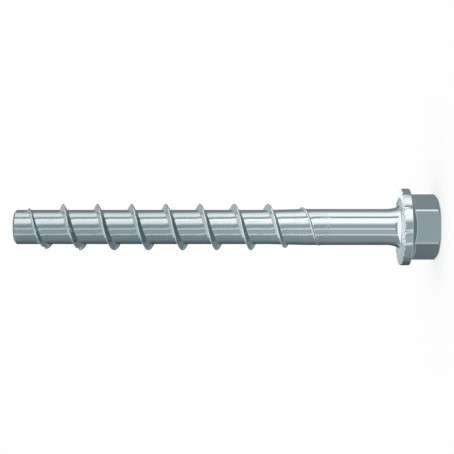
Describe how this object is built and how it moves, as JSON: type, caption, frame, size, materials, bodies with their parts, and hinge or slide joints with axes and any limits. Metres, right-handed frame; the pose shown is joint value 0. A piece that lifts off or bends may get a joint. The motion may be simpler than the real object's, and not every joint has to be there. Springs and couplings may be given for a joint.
{
  "type": "concrete screw",
  "caption": "Hexagon head screw that cuts its own thread into a drilled concrete hole, with a broad flange, locking teeth under it, a plain shank and a flat tip.",
  "frame": {"origin": "on the screw's axis in the plane of the bearing face under the flange, which is where the axis enters the drilled hole", "axes": "+Z along the axis from the head to the tip; +X through a corner of the hexagon"},
  "size_m": [0.017, 0.017, 0.0935],
  "materials": {
    "zinc_plating": "bright blue-white zinc plating with fine drawing marks along the shank"
  },
  "bodies": {
    "root": {"concrete_screw": "zinc_plating"}
  },
  "joints": []
}
